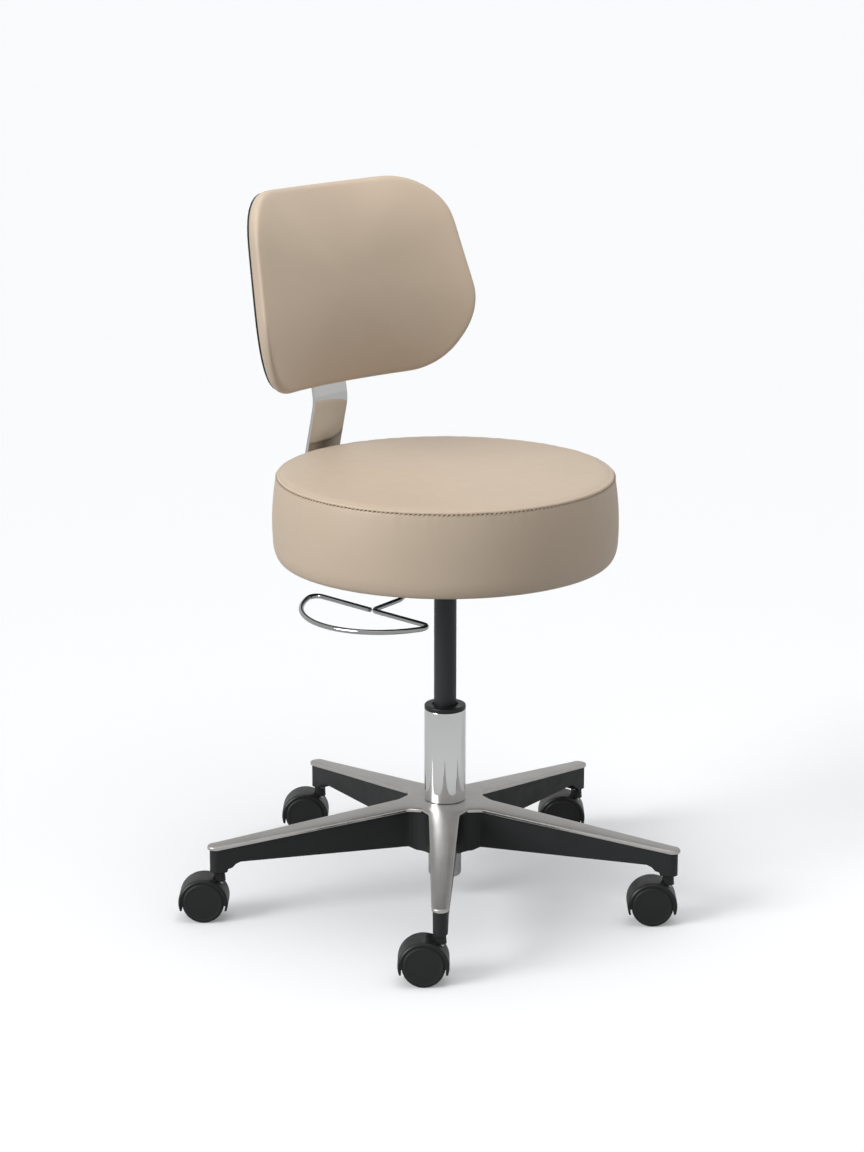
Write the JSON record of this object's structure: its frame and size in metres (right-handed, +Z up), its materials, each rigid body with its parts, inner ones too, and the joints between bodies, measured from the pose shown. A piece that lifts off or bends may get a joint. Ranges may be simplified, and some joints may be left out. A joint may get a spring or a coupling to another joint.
{
  "type": "exam stool with back",
  "caption": "Round padded exam stool with a curved back, a gas lift with a D-shaped release lever, and a star base on hooded casters.",
  "frame": {"origin": "on the floor, on the axis of the gas lift", "axes": "+Z up along the gas lift, -Y the way the sitter faces, +X to the sitter's left"},
  "size_m": [0.5954, 0.5984, 0.8569],
  "materials": {
    "satin_aluminium": "satin",
    "polished_chrome": "polished",
    "polished_bar": "polished",
    "plain_steel": "satin",
    "black_steel": "satin",
    "black_frame": "matte",
    "black_plastic": "satin",
    "black_tread": "satin",
    "black_rubber": "matte",
    "white_plastic": "satin",
    "beige_vinyl": "satin",
    "foam": "matte",
    "plywood": "matte"
  },
  "bodies": {
    "base": {"star_top": "satin_aluminium", "star_frame": "black_frame", "star_screws": "plain_steel", "stand_tube": "polished_chrome", "guide_bush": "black_plastic", "tube_floor": "plain_steel", "lower_race": "plain_steel", "bearing_balls": "plain_steel", "grip_rings": "plain_steel", "caster_stem_1": "plain_steel", "caster_stem_2": "plain_steel", "caster_stem_3": "plain_steel", "caster_stem_4": "plain_steel", "caster_stem_5": "plain_steel"},
    "rod": {"piston_rod": "polished_chrome", "piston": "white_plastic", "upper_race": "plain_steel", "rod_damper": "black_rubber", "rod_washer": "plain_steel", "rod_clip": "plain_steel"},
    "seat": {"pressure_tube": "black_steel", "inner_tube": "plain_steel", "rod_guide": "white_plastic", "valve_body": "white_plastic", "lift_housing": "black_steel", "lever_pin": "plain_steel", "seat_board": "plywood", "seat_foam": "foam", "seat_cover": "beige_vinyl", "seat_bolts": "plain_steel", "back_bar": "polished_bar", "bar_bolts": "plain_steel", "back_board": "plywood", "back_pad": "beige_vinyl", "back_shell": "black_plastic", "back_screws": "polished_chrome"},
    "release_lever": {"lever": "polished_chrome", "lever_hub": "plain_steel"},
    "button": {"release_button": "plain_steel"},
    "caster_1": {"caster_hood_1": "black_plastic", "caster_axle_1": "plain_steel"},
    "caster_wheel_1a": {"wheel_1a": "black_tread"},
    "caster_wheel_1b": {"wheel_1b": "black_tread"},
    "caster_2": {"caster_hood_2": "black_plastic", "caster_axle_2": "plain_steel"},
    "caster_wheel_2a": {"wheel_2a": "black_tread"},
    "caster_wheel_2b": {"wheel_2b": "black_tread"},
    "caster_3": {"caster_hood_3": "black_plastic", "caster_axle_3": "plain_steel"},
    "caster_wheel_3a": {"wheel_3a": "black_tread"},
    "caster_wheel_3b": {"wheel_3b": "black_tread"},
    "caster_4": {"caster_hood_4": "black_plastic", "caster_axle_4": "plain_steel"},
    "caster_wheel_4a": {"wheel_4a": "black_tread"},
    "caster_wheel_4b": {"wheel_4b": "black_tread"},
    "caster_5": {"caster_hood_5": "black_plastic", "caster_axle_5": "plain_steel"},
    "caster_wheel_5a": {"wheel_5a": "black_tread"},
    "caster_wheel_5b": {"wheel_5b": "black_tread"}
  },
  "joints": [
    {"name": "seat_swivel", "type": "hinge", "parent": "base", "child": "rod", "pos_m": [0, 0, 0.04], "axis": [0, 0, 1], "continuous": true},
    {"name": "height_slide", "type": "slide", "parent": "rod", "child": "seat", "axis": [0, 0, 1], "range_m": [-0.105, 0.02]},
    {"name": "lever_hinge", "type": "hinge", "parent": "seat", "child": "release_lever", "pos_m": [-0.028, 0, 0.4143], "axis": [0, 1, 0], "range_deg": [0, 6], "stiffness_Nm_per_rad": 2, "springref_deg": -2.86},
    {"name": "button_slide", "type": "slide", "parent": "seat", "child": "button", "axis": [0, 0, -1], "range_m": [0, 0.003], "stiffness_N_per_m": 300},
    {"name": "caster_swivel_1", "type": "hinge", "parent": "base", "child": "caster_1", "pos_m": [0.27926, 0.03925, 0.055], "axis": [0, 0, 1], "continuous": true},
    {"name": "wheel_spin_1a", "type": "hinge", "parent": "caster_1", "child": "caster_wheel_1a", "pos_m": [0.26582, 0.05268, 0.025], "axis": [0.7071, 0.7071, 0], "continuous": true},
    {"name": "wheel_spin_1b", "type": "hinge", "parent": "caster_1", "child": "caster_wheel_1b", "pos_m": [0.26582, 0.05268, 0.025], "axis": [0.7071, 0.7071, 0], "continuous": true},
    {"name": "caster_swivel_2", "type": "hinge", "parent": "base", "child": "caster_2", "pos_m": [0.04897, 0.27772, 0.055], "axis": [0, 0, 1], "continuous": true},
    {"name": "wheel_spin_2a", "type": "hinge", "parent": "caster_2", "child": "caster_wheel_2a", "pos_m": [0.03553, 0.29115, 0.025], "axis": [0.7071, 0.7071, 0], "continuous": true},
    {"name": "wheel_spin_2b", "type": "hinge", "parent": "caster_2", "child": "caster_wheel_2b", "pos_m": [0.03553, 0.29115, 0.025], "axis": [0.7071, 0.7071, 0], "continuous": true},
    {"name": "caster_swivel_3", "type": "hinge", "parent": "base", "child": "caster_3", "pos_m": [-0.24899, 0.13239, 0.055], "axis": [0, 0, 1], "continuous": true},
    {"name": "wheel_spin_3a", "type": "hinge", "parent": "caster_3", "child": "caster_wheel_3a", "pos_m": [-0.26243, 0.14583, 0.025], "axis": [0.7071, 0.7071, 0], "continuous": true},
    {"name": "wheel_spin_3b", "type": "hinge", "parent": "caster_3", "child": "caster_wheel_3b", "pos_m": [-0.26243, 0.14583, 0.025], "axis": [0.7071, 0.7071, 0], "continuous": true},
    {"name": "caster_swivel_4", "type": "hinge", "parent": "base", "child": "caster_4", "pos_m": [-0.20285, -0.19589, 0.055], "axis": [0, 0, 1], "continuous": true},
    {"name": "wheel_spin_4a", "type": "hinge", "parent": "caster_4", "child": "caster_wheel_4a", "pos_m": [-0.21629, -0.18246, 0.025], "axis": [0.7071, 0.7071, 0], "continuous": true},
    {"name": "wheel_spin_4b", "type": "hinge", "parent": "caster_4", "child": "caster_wheel_4b", "pos_m": [-0.21629, -0.18246, 0.025], "axis": [0.7071, 0.7071, 0], "continuous": true},
    {"name": "caster_swivel_5", "type": "hinge", "parent": "base", "child": "caster_5", "pos_m": [0.12362, -0.25346, 0.055], "axis": [0, 0, 1], "continuous": true},
    {"name": "wheel_spin_5a", "type": "hinge", "parent": "caster_5", "child": "caster_wheel_5a", "pos_m": [0.11019, -0.24002, 0.025], "axis": [0.7071, 0.7071, 0], "continuous": true},
    {"name": "wheel_spin_5b", "type": "hinge", "parent": "caster_5", "child": "caster_wheel_5b", "pos_m": [0.11019, -0.24002, 0.025], "axis": [0.7071, 0.7071, 0], "continuous": true}
  ],
  "couplings": [
    {"joint": "button_slide", "follows": "lever_hinge", "m_per_rad": 0.028}
  ]
}
